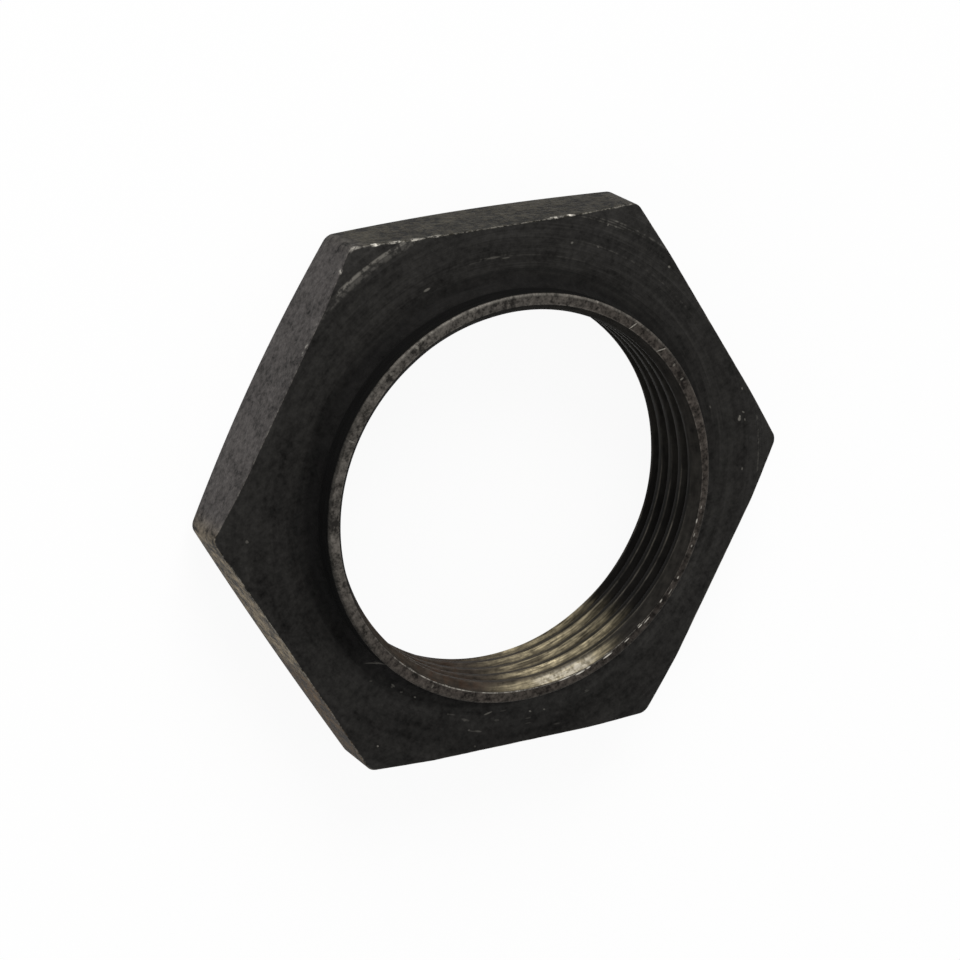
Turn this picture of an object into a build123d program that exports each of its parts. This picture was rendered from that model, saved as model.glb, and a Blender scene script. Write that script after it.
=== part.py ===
from build123d import *
import os
from math import radians, sqrt, tan

# Driving dimensions, in millimetres and degrees.
# The hexagonal body lies on its seating face at z = 0, and the collar points up.
across_flats = 40.4
body_height = 5.85
corner_radius = 0.85

# Turned bevels of the hexagon. The front one only touches the corners.
front_bevel_reach = 2.1
front_bevel_angle = 15.0
seat_bevel_inset = 0.4
seat_bevel_angle = 18.0

# Threaded bore, cut to the tops of the thread
thread_diameter = 30.0
thread_depth = 0.675
rim_lead_in = 0.5
countersink_margin = 1.2

# Thin collar that is staked into the groove of the shaft
collar_wall = 0.67
collar_height = 2.7
collar_root_radius = 1.0
rim_edge_radius = 0.12

# Sizes that follow from the ones above
flat_distance = across_flats / 2
corner_distance = across_flats / sqrt(3)
front_face_radius = corner_distance - front_bevel_reach
front_bevel_drop = front_bevel_reach * tan(radians(front_bevel_angle))
seat_face_radius = flat_distance - seat_bevel_inset
seat_bevel_rise = (corner_distance - seat_face_radius) * tan(radians(seat_bevel_angle))
thread_radius = thread_diameter / 2
bore_radius = thread_radius - thread_depth
countersink_radius = thread_radius + countersink_margin
collar_radius = thread_radius + collar_wall


with BuildPart() as lock_nut:
    # Slice of hexagonal bar, with two flats square to the X axis
    with BuildSketch():
        RegularPolygon(flat_distance, side_count=6, major_radius=False, rotation=30)
        fillet(vertices(), radius=corner_radius)
    extrude(amount=body_height)

    # Lathe profile of the body, which leaves a bevel at both ends
    with BuildSketch(Plane.XZ):
        with BuildLine():
            Polyline(
                (0, 0),
                (seat_face_radius, 0),
                (corner_distance, seat_bevel_rise),
                (corner_distance, body_height - front_bevel_drop),
                (front_face_radius, body_height),
                (0, body_height),
                close=True,
            )
        make_face()
    revolve(axis=Axis.Z, mode=Mode.INTERSECT)

    # Collar on the front face, with a round root and a rim that is slightly rounded outside
    with BuildSketch(Plane.XY.offset(body_height)):
        Circle(collar_radius)
    extrude(amount=collar_height)
    fillet(edges(Select.LAST).group_by(Axis.Z)[0], radius=collar_root_radius)
    fillet(faces().sort_by(Axis.Z)[-1].edges(), radius=rim_edge_radius)

    # Bore, with a lead-in at the rim and a wider countersink at the seating face
    Hole(bore_radius)
    bore_ends = edges(Select.LAST).filter_by(GeomType.CIRCLE).sort_by(Axis.Z)
    chamfer(bore_ends[-1], length=rim_lead_in)
    chamfer(bore_ends[0], length=countersink_radius - bore_radius)

lock_nut.part.label = "lock_nut"

os.makedirs("parts", exist_ok=True)
export_step(lock_nut.part, "parts/lock_nut.step")
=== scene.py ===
from math import atan2, ceil, cos, floor, pi, radians, sin, sqrt, tan

import bmesh
import bpy
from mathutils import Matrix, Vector, noise


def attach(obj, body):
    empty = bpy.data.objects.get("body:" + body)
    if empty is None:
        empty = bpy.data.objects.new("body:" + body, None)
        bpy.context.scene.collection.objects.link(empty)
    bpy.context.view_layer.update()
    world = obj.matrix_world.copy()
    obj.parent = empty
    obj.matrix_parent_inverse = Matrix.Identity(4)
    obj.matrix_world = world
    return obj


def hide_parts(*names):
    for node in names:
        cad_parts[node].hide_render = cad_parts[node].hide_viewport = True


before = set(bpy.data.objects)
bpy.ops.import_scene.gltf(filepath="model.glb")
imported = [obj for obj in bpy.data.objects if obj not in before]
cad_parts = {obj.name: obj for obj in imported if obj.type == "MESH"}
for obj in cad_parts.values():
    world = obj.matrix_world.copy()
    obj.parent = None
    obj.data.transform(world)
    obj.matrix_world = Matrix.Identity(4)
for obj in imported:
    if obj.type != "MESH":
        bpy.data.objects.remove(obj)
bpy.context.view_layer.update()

# One millimetre in the scene's metres
MM = 0.001

# Sizes of the nut in millimetres, as in the part's source
flat_distance = 20.2
body_height = 5.85
corner_radius = 0.85
front_face_radius = 21.225
front_bevel_slope = tan(radians(15))
seat_face_radius = 19.8
seat_bevel_slope = tan(radians(18))
crest_radius = 14.325
countersink_radius = 16.2
collar_radius = 15.67
rim_lead_in = 0.5
rim_height = 8.55
root_fillet = 1.0
rim_edge = 0.12

# Right-hand thread, whose grooves the part's source leaves out.
# One crest passes crest_height where the angle is zero.
groove_radius = 15.06
pitch = 1.5
crest_height = 2.75
crest_half_width = 0.235
crest_rounding = 0.06
groove_rounding = 0.06
flank_half_angle = radians(30)
countersink_overlap = 0.05
thread_bottom = countersink_radius - groove_radius - countersink_overlap

# Columns round the nut: one a degree, closer at the rounded corners
corner_steps = 10
corner_clearance = radians(0.9)
corner_end = radians(0.8)

# Slight rounding of the worn edges, and the widths over which their wear fades
edge_size = 0.07
edge_spread = 0.03
foot_rounding = 0.2
lip_size = 0.02
lip_wear_band = 0.05
wear_fade = 0.12
side_plain_drop = 0.5
rim_wear_inset = 0.07
crest_wear_reach = 0.08

# Lip of the rim, worn wider on one side: reach, depth, azimuth and half span
lip_wear = 0.15
lip_wear_depth = 0.3
lip_wear_azimuth = radians(84)
lip_wear_span = radians(28)

# Mesh clean-up, in metres: the distance for merging points, and the shortest edge kept
merge_distance = 2e-6
shortest_edge = 1e-7
sharp_angle = radians(50)

# Centre of a corner's rounding, and the angle from the side's middle where the rounding starts
corner_centre = (flat_distance - corner_radius) / cos(pi / 6)
corner_tangent = atan2((flat_distance - corner_radius) * tan(pi / 6), flat_distance)


def hexagon_radius(angle):
    """Distance from the axis to the side of the hexagon, with its rounded corners."""
    offset = (angle + pi / 6) % (pi / 3) - pi / 6
    if abs(offset) <= corner_tangent:
        return flat_distance / cos(offset)
    turn = pi / 6 - abs(offset)
    return corner_centre * cos(turn) + sqrt(corner_radius**2 - (corner_centre * sin(turn)) ** 2)


def column_angles():
    """Angles of the columns from 0 to a full turn."""
    angles = {radians(d) for d in range(361)}
    for corner in range(6):
        middle = pi / 6 + corner * pi / 3
        angles = {a for a in angles if abs(a - middle) > corner_clearance}
        for step in range(corner_steps + 1):
            bend = radians(-30 + 60 * step / corner_steps)
            across = corner_radius * sin(bend)
            angles.add(middle + atan2(across, corner_centre + corner_radius * cos(bend)))
        angles |= {middle - corner_end, middle + corner_end}
    return sorted(angles)


def thread_profile(height, angle):
    """Radius of the cut thread, without the bevels at its ends."""
    turns = (height - crest_height) / pitch - angle / (2 * pi)
    away = abs(turns - round(turns)) * pitch
    depth = groove_radius - crest_radius
    start = crest_half_width
    if away <= start:
        return crest_radius
    if away <= start + crest_rounding:
        return crest_radius + 0.5 * (away - start) ** 2 / crest_rounding / tan(flank_half_angle)
    straight = (away - start - crest_rounding / 2) / tan(flank_half_angle)
    limit = depth - groove_rounding
    if straight < limit:
        return crest_radius + straight
    over = min(1, (straight - limit) / (2 * groove_rounding))
    return crest_radius + min(depth, limit + groove_rounding * (1 - (1 - over) ** 2))


def bore_radius(height, angle):
    """Radius of the bore, with the worn lead-in at the rim and the countersink."""
    lead_in = crest_radius + rim_lead_in - (rim_height - height)
    away = abs(angle - lip_wear_azimuth) / lip_wear_span
    if away < 1:
        near_lip = max(0, 1 - (rim_height - height) / lip_wear_depth)
        lead_in += lip_wear * (1 - away**2) ** 2 * near_lip
    countersink = countersink_radius - height
    return max(thread_profile(height, angle), lead_in, countersink)


def thread_phases():
    """Shares of one pitch at which the rows lie, from one crest's middle to the next."""
    start = crest_half_width
    rise = (groove_radius - crest_radius) * tan(flank_half_angle)
    half = [0, start * 0.5, start, start + crest_rounding]
    half += [start + share * rise for share in (0.45, 0.75, 1)]
    half = [h / pitch for h in half] + [0.46]
    return half + [0.5] + [1 - h for h in reversed(half[1:])]


def edge_noise(angle, seed, scale):
    """Noise round the nut, on both sides of zero."""
    point = Vector((cos(angle) * scale, sin(angle) * scale, seed))
    return noise.noise(point) + 0.5 * noise.noise(point * 2.7)


def section(angle):
    """Points of the section at an angle, outside the bore: radius, height, finish and edge wear.

    They run from the lip of the rim down the collar, over the front face and round to the countersink.
    """
    points = []

    def add(radius, height, finish, wear=0.0):
        points.append((radius, height, finish, wear))

    # Rim of the collar. Its lip widens where the groove of the thread runs out through it.
    lip = lip_size * (0.7 + 0.8 * abs(edge_noise(angle, 3.0, 14)))
    lip_radius = bore_radius(rim_height - lip, angle)
    add(lip_radius, rim_height - lip, "rim", 1.0)
    for band, wear in ((0.0, 1.0), (lip_wear_band, 1.0), (wear_fade, 0.1)):
        add(lip_radius + lip + band, rim_height, "rim", wear)
    add((lip_radius + collar_radius) / 2, rim_height, "rim")
    add(collar_radius - rim_edge - rim_wear_inset, rim_height, "rim", 0.6)
    for step in range(4):
        bend = radians(30 * step)
        radius = collar_radius - rim_edge + rim_edge * sin(bend)
        height = rim_height - rim_edge + rim_edge * cos(bend)
        add(radius, height, "rim", 0.9 if step < 3 else 0.4)
    collar_top = rim_height - rim_edge - 0.1
    root_top = body_height + root_fillet
    add(collar_radius, collar_top, "collar")
    for share in (0.3, 0.65, 1.0):
        add(collar_radius, collar_top + share * (root_top - collar_top), "collar")
    for step in range(1, 10):
        bend = radians(10 * step)
        radius = collar_radius + root_fillet * (1 - cos(bend))
        add(radius, root_top - root_fillet * sin(bend), "root")

    # Front face and its turned bevel, out to the worn edge
    outer = hexagon_radius(angle)
    edge = edge_size + edge_spread * edge_noise(angle, 7.0, 22)
    inner = min(front_face_radius, outer - edge - wear_fade)
    face_start = collar_radius + root_fillet
    for share in (0.08, 0.25, 0.45, 0.65, 0.85, 0.97, 1.0):
        add(face_start + share * (inner - face_start), body_height, "face")

    def bevelled(radius):
        return body_height - max(0, radius - front_face_radius) * front_bevel_slope

    end = outer - edge
    for share in (0.3, 0.6, 0.9):
        radius = inner + share * (end - inner)
        add(radius, bevelled(radius), "face", 0.1)
    top = bevelled(outer)
    add(end, bevelled(end), "face", 0.75)
    add(outer - 0.3 * edge, top - 0.3 * edge + 0.15 * edge, "side", 1.0)
    add(outer, top - edge, "side", 0.75)

    # Side of the hexagon, down to the turned bevel of the seat
    foot = max(0.0, outer - seat_face_radius) * seat_bevel_slope
    side_top = top - edge - side_plain_drop
    add(outer, top - edge - wear_fade, "side", 0.5)
    add(outer, side_top, "side")
    for share in (0.25, 0.5, 0.75):
        add(outer, side_top + share * (foot + foot_rounding - side_top), "side")
    for step, wear in enumerate((0.1, 0.6, 0.9, 0.9, 0.4)):
        bend = radians(18 * step)
        radius = outer - foot_rounding * (1 - cos(bend))
        height = foot + foot_rounding * (tan(radians(36)) - sin(bend))
        add(radius, height, "side" if step < 3 else "seat", wear)
    for share in (0.3, 0.7):
        radius = points[-1][0] + share * (seat_face_radius - points[-1][0])
        add(radius, (radius - seat_face_radius) * seat_bevel_slope, "seat")
    for share in (0.0, 0.02, 0.33, 0.66, 0.98):
        radius = seat_face_radius + share * (countersink_radius - seat_face_radius)
        add(radius, 0.0, "seat", 0.3 if share == 0.98 else 0.0)

    # Countersink, up to where the thread starts
    for share in (0.0, 0.05, 0.35, 0.7, 1.0):
        height = thread_bottom * share
        add(countersink_radius - height, height, "bore", 0.5 if share == 0.0 else 0.0)
    return points


FINISHES = ("face", "side", "rim", "collar", "root", "seat", "bore")


def build_nut():
    """The nut as one closed mesh, with its finishes and its wear as layers of the points."""
    mesh = bpy.data.meshes.new("lock_nut_body")
    shape = bmesh.new()
    finish_layers = {name: shape.verts.layers.float.new("finish_" + name) for name in FINISHES}
    wear_layer = shape.verts.layers.float.new("edge_wear")
    angles = column_angles()
    phases = thread_phases()
    first = floor((thread_bottom - crest_height) / pitch) - 1
    last = ceil((rim_height - crest_height) / pitch)
    rows = [turn + phase for turn in range(first, last + 1) for phase in phases[:-1]]
    columns = []
    for angle in angles:
        points = section(angle)
        lip_height = points[0][1]
        for row in rows:
            height = crest_height + pitch * (row + angle / (2 * pi))
            height = min(max(height, thread_bottom), lip_height)
            radius = bore_radius(height, angle)
            from_edge = abs(abs(row - round(row)) * pitch - crest_half_width - crest_rounding / 2)
            points.append((radius, height, "bore", max(0.0, 1 - from_edge / crest_wear_reach)))
        column = []
        for radius, height, finish, wear in points:
            place = (radius * cos(angle) * MM, radius * sin(angle) * MM, height * MM)
            vertex = shape.verts.new(place)
            vertex[finish_layers[finish]] = 1.0
            vertex[wear_layer] = wear
            column.append(vertex)
        columns.append(column)
    count = len(columns[0])
    for left, right in zip(columns, columns[1:]):
        for row in range(count):
            above = (row + 1) % count
            shape.faces.new((left[row], left[above], right[above], right[row]))
    bmesh.ops.remove_doubles(shape, verts=shape.verts, dist=merge_distance)
    bmesh.ops.dissolve_degenerate(shape, edges=shape.edges, dist=shortest_edge)
    bmesh.ops.recalc_face_normals(shape, faces=shape.faces)
    for face in shape.faces:
        face.smooth = True
    shape.to_mesh(mesh)
    shape.free()
    mesh.set_sharp_from_angle(angle=sharp_angle)
    nut = bpy.data.objects.new("lock_nut_body", mesh)
    bpy.context.scene.collection.objects.link(nut)
    return nut


nut = build_nut()


# Materials
class Graph:
    """Adds nodes to a material and joins them. Positions on the nut are in millimetres."""

    def __init__(self, name):
        self.material = bpy.data.materials.new(name)
        self.material.use_nodes = True
        self.nodes = self.material.node_tree.nodes
        self.links = self.material.node_tree.links
        self.shader = self.nodes["Principled BSDF"]

    def set(self, socket, value):
        if isinstance(value, bpy.types.NodeSocket):
            self.links.new(value, socket)
        else:
            socket.default_value = value

    def math(self, operation, *values):
        """Math node. The two methods below chain it."""
        node = self.nodes.new("ShaderNodeMath")
        node.operation = operation
        for socket, value in zip(node.inputs, values):
            self.set(socket, value)
        return node.outputs[0]

    def sum(self, *values):
        total = values[0]
        for value in values[1:]:
            total = self.math("ADD", total, value)
        return total

    def product(self, *values):
        total = values[0]
        for value in values[1:]:
            total = self.math("MULTIPLY", total, value)
        return total

    def spread(self, value, low, high, start=0.0, end=1.0):
        """Smooth change from start to end while the value goes from low to high."""
        node = self.nodes.new("ShaderNodeMapRange")
        node.interpolation_type = "SMOOTHSTEP"
        for socket, given in zip(node.inputs, (value, low, high, start, end)):
            self.set(socket, given)
        return node.outputs[0]

    def vector(self, *values):
        node = self.nodes.new("ShaderNodeCombineXYZ")
        for socket, value in zip(node.inputs, values):
            self.set(socket, value)
        return node.outputs[0]

    def noise(self, place, scale, detail=2.0, roughness=0.5):
        node = self.nodes.new("ShaderNodeTexNoise")
        self.set(node.inputs["Vector"], place)
        node.inputs["Scale"].default_value = scale
        node.inputs["Detail"].default_value = detail
        node.inputs["Roughness"].default_value = roughness
        return node.outputs["Fac"]

    def mix(self, share, first, second):
        node = self.nodes.new("ShaderNodeMix")
        node.data_type = "VECTOR"
        ends = [end for end in node.inputs if end.type == "VECTOR" and end.name in ("A", "B")]
        self.set(node.inputs[0], share)
        self.set(ends[0], first)
        self.set(ends[1], second)
        return [socket for socket in node.outputs if socket.type == "VECTOR"][0]

    def tint(self, colour, level):
        """Colour times a level."""
        node = self.nodes.new("ShaderNodeVectorMath")
        node.operation = "SCALE"
        self.set(node.inputs[0], colour)
        self.set(node.inputs["Scale"], level)
        return node.outputs[0]

    def attribute(self, name):
        node = self.nodes.new("ShaderNodeAttribute")
        node.attribute_name = name
        return node.outputs["Fac"]


# Nicks in the front face and the collar's root: x, y, length, width, direction in degrees, strength
NICKS = (
    (10.42, 13.98, 0.66, 0.12, 162, 0.60),
    (-3.00, -17.14, 0.50, 0.19, 170, 0.45),
    (-8.45, -15.84, 1.10, 0.12, 151, 0.22),
    (-9.28, -15.18, 0.60, 0.10, 149, 0.22),
    (-18.28, 7.95, 0.29, 0.23, 62, 0.62),
    (12.18, 13.16, 0.28, 0.16, 144, 0.34),
    (11.82, 14.65, 0.56, 0.14, 133, 0.29),
    (-19.60, -6.12, 0.20, 0.16, 111, 0.54),
    (15.23, 6.80, 0.30, 0.13, 103, 0.38),
    (7.64, 16.22, 0.19, 0.12, 125, 0.83),
    (18.74, 10.07, 0.17, 0.13, 87, 0.66),
    (-17.92, -11.80, 0.28, 0.11, 127, 0.32),
    (18.21, -10.26, 0.24, 0.20, 75, 0.22),
    (-14.14, -12.77, 0.20, 0.16, 164, 0.40),
    (14.36, 8.81, 0.18, 0.12, 119, 0.57),
    (12.35, 14.07, 0.20, 0.15, 129, 0.32),
    (-18.83, 7.69, 0.24, 0.12, 111, 0.34),
    (6.65, 16.89, 0.18, 0.12, 127, 0.53),
    (-17.65, -11.52, 0.22, 0.10, 128, 0.34),
    (3.11, 17.98, 0.26, 0.10, 158, 0.24),
    (15.38, 4.28, 0.18, 0.11, 106, 0.26),
    (-16.79, 5.50, 0.23, 0.10, 86, 0.23),
    (-15.69, -11.16, 0.22, 0.13, 99, 0.26),
    (14.96, 7.76, 0.14, 0.12, 0, 0.26),
    (13.00, 11.80, 0.14, 0.10, 65, 0.31),
    (-17.21, -12.07, 0.20, 0.12, 20, 0.40),
    (-18.41, 7.81, 0.22, 0.14, 62, 0.70),
    (-18.64, 8.30, 0.20, 0.10, 70, 0.35),
    (-19.70, 6.02, 0.20, 0.12, 80, 0.40),
    (-16.46, 11.53, 0.22, 0.12, 55, 0.35),
    (15.50, 4.18, 1.25, 0.08, 146, 0.35),
    (15.23, 4.25, 0.60, 0.06, 139, 0.25),
    (15.23, 6.83, 0.35, 0.14, 102, 0.40),
    (16.43, 5.32, 0.25, 0.10, 139, 0.25),
    (12.13, 13.17, 0.70, 0.16, 125, 0.22),
    (12.78, 12.03, 0.52, 0.10, 133, 0.22),
    (12.14, 14.36, 0.75, 0.08, 134, 0.22),
    (18.16, -10.24, 0.27, 0.12, 92, 0.25),
    (10.16, 14.95, 0.40, 0.16, 140, 0.20),
    (9.35, 14.65, 0.50, 0.12, 150, 0.16),
    (8.05, 16.57, 0.45, 0.12, 150, 0.16),
    (8.26, 16.92, 0.45, 0.10, 150, 0.14),
    (6.43, 18.61, 0.50, 0.14, 150, 0.12),
    (3.11, 18.09, 0.45, 0.12, 165, 0.16),
    (12.65, 15.51, 0.18, 0.14, 130, 0.20),
    (15.36, 6.86, 0.20, 0.16, 120, 0.22),
    (15.02, 7.71, 0.18, 0.14, 120, 0.25),
)

# Scratches and bruises of the rim: the same values
RIM_MARKS = (
    (-14.97, -2.60, 0.75, 0.10, -22, 0.90),
    (-14.09, -5.66, 0.72, 0.10, -4, 0.90),
    (8.30, -12.76, 0.50, 0.14, -57, 0.45),
    (0.54, -15.44, 0.34, 0.24, -88, 0.60),
    (3.20, -15.05, 0.34, 0.20, -78, 0.35),
    (-15.20, 0.45, 0.30, 0.14, -2, 0.50),
    (-15.24, -0.90, 0.26, 0.16, 10, 0.35),
    (-12.72, -9.10, 0.22, 0.20, 30, 0.60),
    (13.30, 7.40, 0.30, 0.14, 25, 0.30),
)

# Bright dashes along the lip of the rim, partly wear and partly painted glint: the same values
LIP_MARKS = (
    (4.59, 14.23, 0.90, 0.08, 162, 0.75),
    (3.38, 14.69, 0.72, 0.10, 167, 0.85),
    (2.63, 14.81, 0.34, 0.09, 170, 0.80),
    (0.88, 15.08, 0.76, 0.10, 177, 0.85),
    (-1.01, 15.10, 0.45, 0.08, 184, 0.65),
    (-2.47, 14.88, 0.40, 0.08, 189, 0.70),
    (-3.15, 14.86, 0.60, 0.08, 192, 0.50),
    (-4.87, 14.34, 0.30, 0.10, 199, 0.50),
    (-5.86, 14.23, 0.50, 0.08, 202, 0.22),
    (-6.95, 13.70, 0.22, 0.12, 206, 0.35),
    (-9.15, 12.30, 0.20, 0.10, 216, 0.28),
    (-9.76, 11.70, 0.30, 0.08, 219, 0.28),
    (-10.50, 10.88, 0.36, 0.10, 224, 0.42),
    (-11.34, 10.21, 0.25, 0.08, 228, 0.25),
)

# Worn arcs round the front face: radius, half width, azimuth and half span in degrees, strength
WORN_ARCS = (
    (21.48, 0.19, -90.5, 12.0, 0.75),
    (21.15, 0.30, -90.0, 18.0, 0.26),
    (21.10, 0.08, -143.0, 7.0, 0.28),
    (21.45, 0.10, -155.0, 12.0, 0.26),
    (21.28, 0.07, -147.0, 8.0, 0.22),
    (21.50, 0.12, 150.0, 11.0, 0.20),
    (18.02, 0.09, -118.0, 5.0, 0.25),
    (19.30, 0.08, -158.0, 20.0, 0.16),
    (17.90, 0.07, -125.0, 24.0, 0.09),
)

# Bare spots along the edges: x, y, z, reach, strength
BARE_SPOTS = (
    (-0.20, -22.90, 5.30, 0.50, 0.35),
    (-1.66, -22.30, 5.36, 0.45, 1.00),
    (-3.00, -21.52, 5.45, 0.80, 0.38),
    (-4.30, -20.78, 5.55, 0.80, 0.32),
    (-5.60, -20.02, 5.62, 0.80, 0.25),
    (-15.19, -14.56, 5.70, 0.38, 1.00),
    (-14.10, -15.15, 5.72, 0.90, 0.45),
    (5.14, -20.36, 5.45, 0.30, 0.40),
    (6.62, -19.50, 5.50, 0.30, 0.50),
    (7.17, -19.18, 5.52, 0.28, 0.35),
    (1.59, -22.41, 5.43, 0.30, 0.35),
)

# Colours of the black finish, on the seven parts of the nut. The seen sides, the rim, the collar, the
# root and the bore also carry painted light or shade.
FACE_BLACK = (0.0148, 0.0142, 0.0133)
COLLAR_BLACK_PAINTED_SHADE = (0.0038, 0.0037, 0.0036)
ROOT_PAINTED_SHADE_AT_COLLAR = (0.0076, 0.0073, 0.0070)
ROOT_PAINTED_SHADE_AT_FACE = (0.0130, 0.0125, 0.0117)
SEAT_BLACK = (0.0175, 0.0168, 0.0158)
SIDE_TOP_PAINTED_SHADE = (0.0185, 0.0162, 0.0112)
SIDE_UPPER_LEFT_PAINTED_LIGHT = (0.0488, 0.0446, 0.0428)
SIDE_LOWER_LEFT_PAINTED_LIGHT_START = (0.0700, 0.0565, 0.0380)
SIDE_LOWER_LEFT_PAINTED_LIGHT_END = (0.0310, 0.0200, 0.0100)
SIDE_HIDDEN = (0.0300, 0.0280, 0.0256)
RIM_GREY = (0.035, 0.030, 0.0260)
RIM_GREY_PAINTED_LIGHT = (0.058, 0.053, 0.047)
BORE_BLACK = (0.0042, 0.0038, 0.0033)
BORE_BLACK_PAINTED_LIGHT = (0.0125, 0.0115, 0.0096)
LEAD_IN_BLACK = (0.0138, 0.0126, 0.0110)
BORE_BROWN = (0.0330, 0.0265, 0.0210)
CREST_GREY_WEAR_AND_HIGHLIGHT = (0.044, 0.040, 0.034)
RUST = (0.046, 0.022, 0.011)

# Colours of bare metal: worn through, rubbed by a thread, and shining. The rubbed and shining metal also
# carry painted highlight and glint.
WORN_METAL = (0.36, 0.34, 0.30)
RUBBED_METAL_AND_HIGHLIGHT = (0.45, 0.385, 0.25)
SHINING_METAL_AND_GLINT = (0.80, 0.76, 0.68)

# Radius between the rim's inner and outer edge, and the phase of the lines of wear and painted highlight
# on the thread's crests
rim_middle = 15.3
crest_edge_phase = 0.155


def steel():
    g = Graph("blackened_steel")

    # Places on the nut
    texture = g.nodes.new("ShaderNodeTexCoord")
    scale = g.nodes.new("ShaderNodeVectorMath")
    scale.operation = "SCALE"
    g.links.new(texture.outputs["Object"], scale.inputs[0])
    scale.inputs["Scale"].default_value = 1 / MM
    place = scale.outputs[0]
    split = g.nodes.new("ShaderNodeSeparateXYZ")
    g.links.new(place, split.inputs[0])
    x, y, z = split.outputs
    radius = g.math("SQRT", g.sum(g.product(x, x), g.product(y, y)))
    cosine = g.math("DIVIDE", x, radius)
    sine = g.math("DIVIDE", y, radius)
    flat_place = g.vector(x, y, 1.0)

    face, side, rim, collar, root, seat, bore = [g.attribute("finish_" + name) for name in FINISHES]
    worn_edge = g.attribute("edge_wear")

    def towards(azimuth, half_span, plateau=0.35):
        """One at an azimuth, and zero beyond the half span on both sides."""
        a = radians(azimuth)
        along = g.sum(g.product(cosine, cos(a)), g.product(sine, sin(a)))
        return g.spread(along, cos(radians(half_span)), cos(radians(half_span * plateau)))

    def rings(per_mm, round_scale, detail):
        """Noise drawn out into rings round the axis, without a seam."""
        turned = (g.product(cosine, round_scale), g.product(sine, round_scale))
        return g.noise(g.vector(g.product(radius, per_mm), *turned), 1.0, detail, 0.6)

    def lathe_noise(round_scale, height_scale, detail):
        """Noise round the axis that changes faster or slower along it."""
        turned = (g.product(cosine, round_scale), g.product(sine, round_scale))
        return g.noise(g.vector(*turned, g.product(z, height_scale)), 1.0, detail, 0.6)

    # Noise fields
    clouds = g.noise(place, 0.16, 2.0, 0.5)
    blotches = g.noise(place, 0.55, 2.0, 0.6)
    grain = g.noise(place, 2.2, 2.0, 0.65)
    speckle = g.noise(place, 5.5, 1.0, 0.6)
    broad_rings = rings(1.3, 2.0, 2.0)
    fine_rings = rings(4.5, 2.5, 2.0)
    streak_place = g.vector(g.product(x, 1.5), g.product(y, 1.5), g.product(z, 0.42))
    streaks = g.noise(streak_place, 0.8, 2.0, 0.62)
    lathe_marks = lathe_noise(9.0, 6.0, 2.0)

    def level(mean, *fields, deepest=0.88):
        """Level that varies about a mean by noise fields, each with its gain."""
        total = mean - sum(0.5 * gain for field, gain in fields)
        for field, gain in fields:
            total = g.sum(total, g.product(field, gain))
        return g.math("MAXIMUM", total, mean - deepest)

    # Front face: black and mottled. Painted shade darkens it towards the collar, and painted light
    # brightens it round azimuth -150, where its rings show best, and near the collar on the far side
    # round azimuth 70.
    painted_light_side = towards(-150.0, 100.0, 0.1)
    face_mottle_and_painted_light = level(1.0, (broad_rings, 1.3), (blotches, 1.2), (grain, 1.3), (speckle, 0.7))
    # Painted light: the rings and the face are lighter round azimuth -150.
    ring_lines = g.product(painted_light_side, g.spread(fine_rings, 0.52, 0.75))
    face_mottle_and_painted_light = g.sum(face_mottle_and_painted_light, g.product(0.45, ring_lines), g.product(0.25, painted_light_side))
    # Painted shade darkens the face towards the collar; painted light lightens it near the collar round
    # azimuth 70.
    face_mottle_and_painted_light = g.product(face_mottle_and_painted_light, g.spread(radius, 16.2, 18.4, 0.80, 1.06))
    far_side_painted_light = g.product(towards(70.0, 78.0, 0.40), g.spread(radius, 17.2, 19.6, 1.25, 0.12))
    face_mottle_and_painted_light = g.product(face_mottle_and_painted_light, g.sum(1.0, far_side_painted_light))
    face_colour = g.tint(FACE_BLACK, face_mottle_and_painted_light)

    # Sides of the hexagon: mottled, each seen side with its own painted light or shade, the top darker
    # and the upper and lower left lighter. Their names say where the camera sees them, and the three
    # that it doesn't see are plainer.
    upper_left = towards(300.0, 34.0, 0.8)
    lower_left = towards(0.0, 34.0, 0.8)
    hidden = towards(120.0, 94.0, 0.915)
    # Painted light: the lower left side is lighter towards negative y.
    lower_left_painted_light = g.mix(g.spread(y, 0.8, 2.6), SIDE_LOWER_LEFT_PAINTED_LIGHT_START, SIDE_LOWER_LEFT_PAINTED_LIGHT_END)
    side_base_with_painted_light = g.mix(hidden, SIDE_TOP_PAINTED_SHADE, SIDE_HIDDEN)
    side_base_with_painted_light = g.mix(upper_left, side_base_with_painted_light, SIDE_UPPER_LEFT_PAINTED_LIGHT)
    side_base_with_painted_light = g.mix(lower_left, side_base_with_painted_light, lower_left_painted_light)
    side_level = level(0.0, (clouds, 1.4), (blotches, 2.2), (streaks, 0.7), (grain, 3.2))
    fine_share = g.sum(1.7, g.product(-0.7, lower_left))
    side_level = g.sum(side_level, g.product(g.sum(speckle, -0.5), fine_share))
    contrast = g.sum(
        1.25,
        g.product(-0.55, upper_left),
        g.product(1.1, lower_left),
        g.product(-0.5, hidden),
    )
    side_level = g.math("MAXIMUM", g.sum(1.0, g.product(side_level, contrast)), 0.15)
    side_colour = g.tint(side_base_with_painted_light, side_level)

    # Rim, collar, root of the collar, seating face and bore
    rim_level = g.math("MAXIMUM", level(1.0, (blotches, 2.1), (grain, 3.0), (speckle, 2.0)), 0.3)
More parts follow.
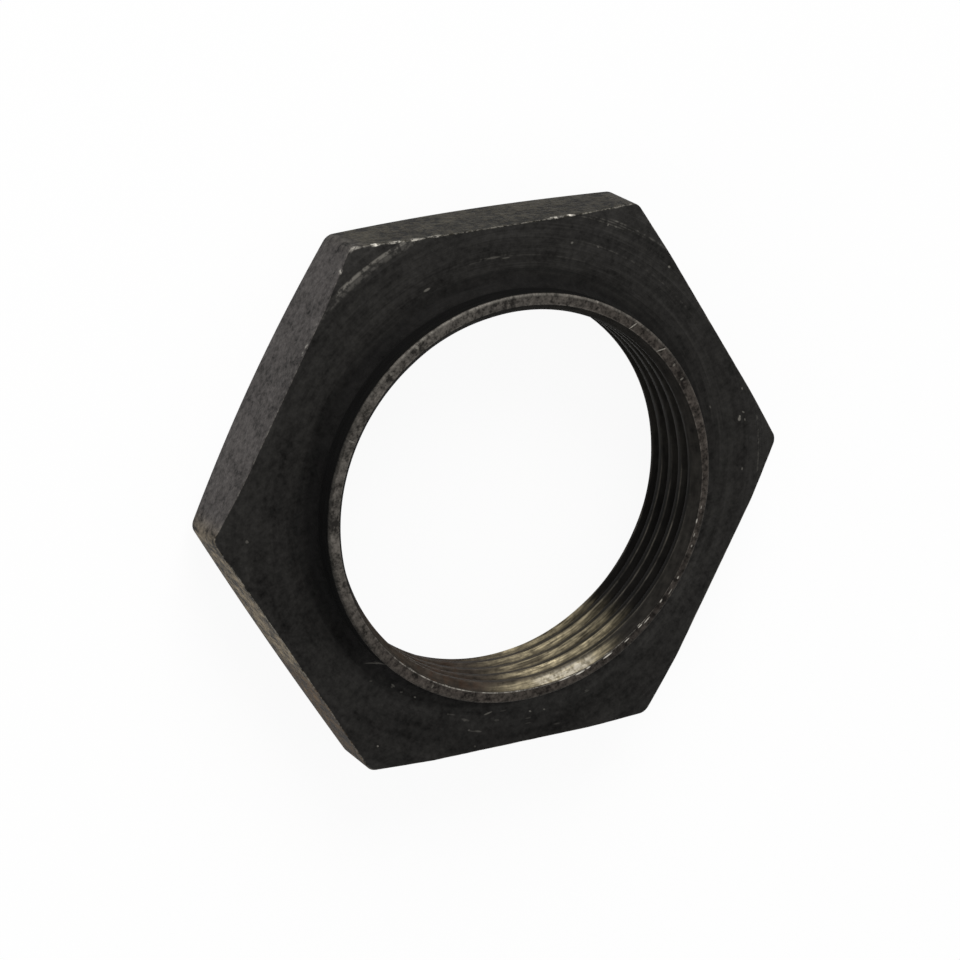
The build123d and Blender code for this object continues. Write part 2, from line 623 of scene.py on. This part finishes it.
    # Painted light makes the rim lighter round azimuth -70; painted shade darkens its outer rounding
    # round azimuth -30, and the rim round azimuth 105.
    rim_base_with_painted_light = g.mix(towards(-70.0, 95.0, 0.25), RIM_GREY, RIM_GREY_PAINTED_LIGHT)
    painted_rim_shade = g.product(0.7, towards(-30.0, 52.0, 0.5), g.spread(radius, 15.40, 15.60))
    painted_rim_shade = g.sum(painted_rim_shade, g.product(0.25, towards(105.0, 30.0, 0.4)))
    rim_colour = g.tint(rim_base_with_painted_light, g.product(rim_level, g.math("SUBTRACT", 1.0, painted_rim_shade)))
    # Painted shade: the collar's wall is far darker than the face, and the root's fillet darkens towards
    # the collar.
    collar_colour = g.tint(COLLAR_BLACK_PAINTED_SHADE, level(1.0, (lathe_marks, 1.6)))
    root_painted_shade = g.mix(g.spread(radius, 16.1, 16.75), ROOT_PAINTED_SHADE_AT_COLLAR, ROOT_PAINTED_SHADE_AT_FACE)
    root_colour = g.tint(root_painted_shade, face_mottle_and_painted_light)
    seat_level = level(1.0, (broad_rings, 1.8), (fine_rings, 1.6), (grain, 1.2))
    seat_colour = g.tint(SEAT_BLACK, seat_level)

    # Thread: black in its grooves, lighter round azimuth 180 by painted light, with lines along the
    # upper edges of the crests that are partly wear and partly painted highlight, strongest round
    # azimuth 112. The phase is a share of the pitch, and top_height is the height above the middle of
    # the topmost crest.
    turn = g.math("ARCTAN2", y, x)
    phase = g.sum(g.product(g.sum(z, -crest_height), 1 / pitch), g.product(turn, -0.5 / pi), 0.5)
    phase = g.sum(g.math("FRACT", phase), -0.5)
    upper_flank = g.product(g.spread(phase, 0.05, 0.15), g.spread(phase, 0.2, 0.44, 1.0, 0.4))
    from_crest_edge = g.math("ABSOLUTE", g.sum(phase, -crest_edge_phase))
    crest_wear_and_highlight = g.spread(from_crest_edge, 0.015, 0.055, 1.0, 0.0)
    top_height = g.sum(z, g.product(turn, -0.5 * pitch / pi), -crest_height - 3 * pitch)
    last_flank = g.product(g.spread(top_height, 0.21, 0.28), towards(70.0, 60.0, 0.6))
    lead_in = g.math("MAXIMUM", g.spread(z, rim_height - 0.62, rim_height - 0.45), last_flank)
    below = g.math("SUBTRACT", 1.0, lead_in)
    crest_wear_and_highlight = g.product(crest_wear_and_highlight, below, g.sum(0.1, g.product(0.9, towards(112.0, 48.0, 0.4))))
    crest_wear_and_highlight = g.product(crest_wear_and_highlight, g.spread(lathe_marks, 0.35, 0.6, 0.5, 1.0))
    bore_level = level(1.0, (lathe_marks, 2.0), (grain, 1.2))
    # Painted light: the bore is lighter round azimuth 180.
    bore_base = g.mix(towards(180.0, 48.0, 0.4), BORE_BLACK, BORE_BLACK_PAINTED_LIGHT)
    bore_base = g.mix(lead_in, bore_base, LEAD_IN_BLACK)
    brown = g.product(towards(34.0, 52.0, 0.45), g.sum(0.5, g.product(0.5, upper_flank)))
    bore_base = g.mix(brown, bore_base, BORE_BROWN)
    bore_colour = g.tint(g.mix(crest_wear_and_highlight, bore_base, CREST_GREY_WEAR_AND_HIGHLIGHT), bore_level)

    # The finishes one over the other, each on its own part
    colour = g.mix(face, (0.01, 0.01, 0.01), face_colour)
    for share, finish in (
        (side, side_colour),
        (rim, rim_colour),
        (collar, collar_colour),
        (root, root_colour),
        (seat, seat_colour),
        (bore, bore_colour),
    ):
        colour = g.mix(share, colour, finish)

    # Thread and lead-in rubbed down to metal on one side, round azimuth 70 to 76, where the bright metal
    # is partly painted highlight, with a trace of rust beside it
    rub_lines = lathe_noise(7.0, 13.0, 1.0)
    rubbing = g.spread(lathe_marks, 0.28, 0.62, 0.35, 1.0)
    rubbing = g.product(rubbing, g.spread(rub_lines, 0.28, 0.68, 0.4, 1.15))
    rubbing = g.math("MAXIMUM", rubbing, g.product(0.5, lead_in))
    rubbed_arc_and_highlight = g.sum(
        g.product(below, towards(76.0, 30.0, 0.2)),
        g.product(lead_in, towards(70.0, 27.0, 0.1)),
    )
    rubbed_arc_and_highlight = g.product(rubbed_arc_and_highlight, rubbed_arc_and_highlight, g.spread(grain, 0.3, 0.6, 0.7, 1.15))
    top_turn = g.product(
        g.spread(z, 5.4, 6.0, 0.5, 0.62),
        g.spread(top_height, 0.05, 0.20, 1.0, 0.25),
        below,
    )
    lead_share = g.product(lead_in, g.spread(top_height, 0.28, 0.44, 0.14, 0.90))
    shine_grain = g.spread(grain, 0.35, 0.62, 0.06, 0.42)
    # Painted glint: a narrow streak of shining metal on the lead-in round azimuth 73.
    lead_in_painted_glint = g.product(lead_share, bore, towards(73.0, 12.0, 0.3), shine_grain)
    lead_in_painted_glint = g.product(lead_in_painted_glint, g.spread(z, 8.20, 8.34, 1.0, 0.08))
    flank_share = g.math("MAXIMUM", lead_share, g.sum(0.06, g.product(top_turn, upper_flank)))
    rubbed_bare_and_highlight = g.product(bore, rubbed_arc_and_highlight, flank_share, rubbing, g.spread(z, 8.24, 8.42, 1.0, 0.2))
    rust = g.product(bore, towards(28.0, 24.0), g.spread(g.noise(place, 0.9, 2.0, 0.6), 0.5, 0.7))
    colour = g.mix(g.product(0.35, rust), colour, RUST)

    # Edges worn to bare metal where they are touched most
    fine_patches = g.noise(place, 4.2, 1.0, 0.6)
    edge = g.product(worn_edge, level(1.0, (blotches, 1.8), (fine_patches, 2.4)))
    less_worn = g.sum(g.product(0.75, rim), g.product(0.4, bore), g.product(0.3, upper_left))
    edge = g.product(edge, g.math("SUBTRACT", 1.0, less_worn))
    edge_bare = g.spread(edge, 0.5, 1.5, 0.0, 0.5)
    spots = 0.0
    for spot_x, spot_y, spot_z, reach, strength in BARE_SPOTS:
        gap = g.nodes.new("ShaderNodeVectorMath")
        gap.operation = "DISTANCE"
        g.links.new(place, gap.inputs[0])
        gap.inputs[1].default_value = (spot_x, spot_y, spot_z)
        spot = g.spread(gap.outputs["Value"], 0.2 * reach, reach, strength, 0.0)
        spots = g.math("MAXIMUM", spots, spot)
    spots = g.product(spots, g.spread(worn_edge, 0.1, 0.6))
    spot_bare = g.product(spots, g.spread(fine_patches, 0.42, 0.58, 0.15, 1.0))

    # Worn arcs and nicks of the front face, and the scratches across the rim
    arcs = 0.0
    for arc_radius, half_width, azimuth, half_span, strength in WORN_ARCS:
        away = g.math("ABSOLUTE", g.math("SUBTRACT", radius, arc_radius))
        band = g.spread(away, 0.2 * half_width, half_width, strength, 0.0)
        arcs = g.math("MAXIMUM", arcs, g.product(band, towards(azimuth, half_span, 0.5)))
    patches = g.sum(g.product(0.5, blotches), g.product(0.7, grain), g.product(0.5, fine_patches))
    arcs = g.product(arcs, face, g.spread(patches, 0.76, 0.98, 0.08, 1.0))

    def marks(listed):
        """Mask of small oval marks."""
        found = 0.0
        for mark_x, mark_y, length, width, direction, strength in listed:
            a = radians(direction)
            squares = []
            for cross_x, cross_y, size in ((cos(a), sin(a), length), (-sin(a), cos(a), width)):
                across = g.nodes.new("ShaderNodeVectorMath")
                across.operation = "DOT_PRODUCT"
                g.links.new(flat_place, across.inputs[0])
                shift = -(cross_x * mark_x + cross_y * mark_y)
                across.inputs[1].default_value = [2 * part / size for part in (cross_x, cross_y, shift)]
                squares.append(g.product(across.outputs["Value"], across.outputs["Value"]))
            found = g.math("MAXIMUM", found, g.spread(g.sum(*squares), 0.25, 1.8, strength, 0.0))
        return found

    rim_marks = g.product(rim, marks(RIM_MARKS))
    nicks = g.math("MAXIMUM", g.product(g.sum(face, root), marks(NICKS)), rim_marks)

    # Lip of the rim, bright in dashes of wear, and the rim's outer edge. Their brightness is partly
    # painted glint and highlight, strongest round azimuths 38 and 77 on the lip and round azimuth -120
    # on the outer edge.
    edge_of_rim = g.product(rim, g.spread(worn_edge, 0.45, 0.9))
    inner_side = g.math("LESS_THAN", radius, rim_middle)
    dash_place = g.vector(g.product(cosine, 40.0), g.product(sine, 40.0), 0.0)
    dashes = g.noise(dash_place, 1.0, 2.0, 0.65)
    lip_wear_and_glint_strength = g.sum(
        0.06,
        g.product(0.42, towards(38.0, 28.0, 0.5)),
        g.product(0.22, towards(77.0, 30.0, 0.45)),
    )
    lip_marks = g.product(g.sum(rim, bore), g.spread(z, 8.25, 8.40), marks(LIP_MARKS))
    lip_wear_and_glint_strength = g.product(lip_wear_and_glint_strength, g.spread(blotches, 0.36, 0.58, 0.35, 1.0))
    lip_dashes = g.spread(dashes, 0.40, 0.64, 0.14, 0.85)
    lip_bare = g.product(edge_of_rim, inner_side, lip_dashes, lip_wear_and_glint_strength)
    outer_side = g.math("SUBTRACT", 1.0, inner_side)
    # Painted highlight: the outer edge is brighter round azimuth -120.
    outer_wear_and_highlight_strength = g.sum(0.06, g.product(0.27, towards(-120.0, 62.0, 0.4)))
    outer_wear_and_highlight_strength = g.product(outer_wear_and_highlight_strength, g.spread(radius, 15.60, 15.67, 1.0, 0.3))
    outer_dashes = g.spread(dashes, 0.34, 0.66, 0.2, 1.0)
    outer_bare = g.product(edge_of_rim, outer_side, outer_dashes, outer_wear_and_highlight_strength)

    # Bare metal, in all of these places together, with the painted glints and highlights among them
    bare_and_glint = g.math("MAXIMUM", spot_bare, lip_bare)
    bare_and_glint = g.math("MAXIMUM", bare_and_glint, g.math("MAXIMUM", lip_marks, lead_in_painted_glint))
    bright = g.math("MAXIMUM", edge_bare, outer_bare)
    bright = g.math("MAXIMUM", bright, g.math("MAXIMUM", g.product(0.8, nicks), g.product(0.5, arcs)))
    colour = g.mix(g.product(0.85, bright), colour, WORN_METAL)
    colour = g.mix(g.product(0.9, rubbed_bare_and_highlight), colour, RUBBED_METAL_AND_HIGHLIGHT)
    colour = g.mix(bare_and_glint, colour, SHINING_METAL_AND_GLINT)
    metal = g.math("MAXIMUM", g.product(0.9, rubbed_bare_and_highlight), g.product(0.6, bare_and_glint))
    metal = g.product(metal, g.math("SUBTRACT", 1.0, g.product(0.75, lead_in, bore)))
    metal = g.math("MAXIMUM", metal, g.product(0.7, bright))
    scale_noise = g.sum(blotches, g.product(0.8, grain), g.product(0.6, streaks))
    worn_scale = g.spread(scale_noise, 0.95, 1.4, 0.0, 0.45)
    less_scale = g.sum(lower_left, g.product(0.75, hidden))
    worn_scale = g.product(side, worn_scale, g.math("SUBTRACT", 1.0, less_scale))
    metal = g.math("MAXIMUM", metal, worn_scale)

    # Roughness
    roughness = g.sum(
        0.40,
        g.product(0.16, grain),
        g.product(0.12, side),
        g.product(0.10, face),
        g.product(0.35, g.sum(root, collar)),
        g.product(0.20, bore),
        g.product(-0.10, bright),
        g.product(-0.24, rubbed_bare_and_highlight),
    )

    # Relief of tool marks, scale and scratches
    side_relief = g.sum(g.product(0.4, streaks), g.product(1.4, grain))
    relief = g.sum(
        g.product(g.sum(face, seat), fine_rings),
        g.product(g.sum(bore, collar), g.product(0.8, lathe_marks)),
        g.product(side, g.sum(1.0, g.product(-0.6, lower_left)), side_relief),
        g.product(0.6, grain),
        g.product(-1.5, rim_marks),
    )
    bump = g.nodes.new("ShaderNodeBump")
    bump.inputs["Strength"].default_value = 1.0
    bump.inputs["Distance"].default_value = 0.04 * MM
    g.links.new(relief, bump.inputs["Height"])

    g.links.new(colour, g.shader.inputs["Base Color"])
    g.links.new(metal, g.shader.inputs["Metallic"])
    g.links.new(roughness, g.shader.inputs["Roughness"])
    g.links.new(bump.outputs[0], g.shader.inputs["Normal"])
    g.shader.inputs["Specular IOR Level"].default_value = 0.06
    return g.material


nut.data.materials.append(steel())
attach(nut, "root")
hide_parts("lock_nut")


# Floor of white paper. The camera and the glossy rays see it almost plain white, with a faint shadow.
floor_reach = 3
plain_white_share = 0.93


def white_paper():
    g = Graph("white_paper")
    g.shader.inputs["Base Color"].default_value = (0.92, 0.92, 0.92, 1)
    g.shader.inputs["Roughness"].default_value = 0.9
    g.shader.inputs["Specular IOR Level"].default_value = 0.0
    glow = g.nodes.new("ShaderNodeEmission")
    path = g.nodes.new("ShaderNodeLightPath")
    mix = g.nodes.new("ShaderNodeMixShader")
    seen = g.sum(*(path.outputs["Is " + ray + " Ray"] for ray in ("Camera", "Glossy", "Transmission")))
    g.links.new(g.product(plain_white_share, g.math("MINIMUM", seen, 1.0)), mix.inputs[0])
    g.links.new(g.shader.outputs[0], mix.inputs[1])
    g.links.new(glow.outputs[0], mix.inputs[2])
    g.links.new(mix.outputs[0], g.nodes["Material Output"].inputs["Surface"])
    return g.material


floor_mesh = bpy.data.meshes.new("floor")
floor_corners = [(x * floor_reach, y * floor_reach, 0) for x, y in ((-1, -1), (1, -1), (1, 1), (-1, 1))]
floor_mesh.from_pydata(floor_corners, [], [(0, 1, 2, 3)])
floor_mesh.materials.append(white_paper())
floor_object = bpy.data.objects.new("floor", floor_mesh)
bpy.context.scene.collection.objects.link(floor_object)

# Camera, looking down on the lying nut
camera_data = bpy.data.cameras.new("camera")
camera_data.sensor_width = 36
camera_data.lens = 153.29
camera_data.clip_start = 0.01
camera_data.clip_end = 20
camera = bpy.data.objects.new("camera", camera_data)
camera.location = (0.060419, -0.148009, 0.262310)
camera.rotation_euler = (radians(-18.0066), radians(-26.3447), radians(148.2942))
bpy.context.scene.collection.objects.link(camera)
bpy.context.scene.camera = camera


def area_light(name, azimuth, elevation, size, power, colour, distance=1.0):
    """Soft round lamp that faces the nut. Its angles are in degrees, its power in watts."""
    data = bpy.data.lights.new(name, "AREA")
    data.shape = "DISK"
    data.size = size
    data.energy = power
    data.color = colour
    light = bpy.data.objects.new(name, data)
    a, e = radians(azimuth), radians(elevation)
    direction = Vector((cos(a) * cos(e), sin(a) * cos(e), sin(e)))
    light.location = direction * distance
    light.rotation_euler = direction.to_track_quat("Z", "Y").to_euler()
    bpy.context.scene.collection.objects.link(light)


area_light("key", azimuth=237, elevation=27, size=0.7, power=11.0, colour=(1.0, 0.99, 0.97))
area_light("fill", azimuth=345, elevation=22, size=0.9, power=3.0, colour=(0.99, 0.99, 1.0))

# Even grey light from all round
world = bpy.data.worlds.new("world")
bpy.context.scene.world = world
world.use_nodes = True
background = world.node_tree.nodes["Background"]
background.inputs["Color"].default_value = (0.45, 0.45, 0.45, 1)
background.inputs["Strength"].default_value = 1.0

bpy.context.scene.view_settings.view_transform = "Standard"
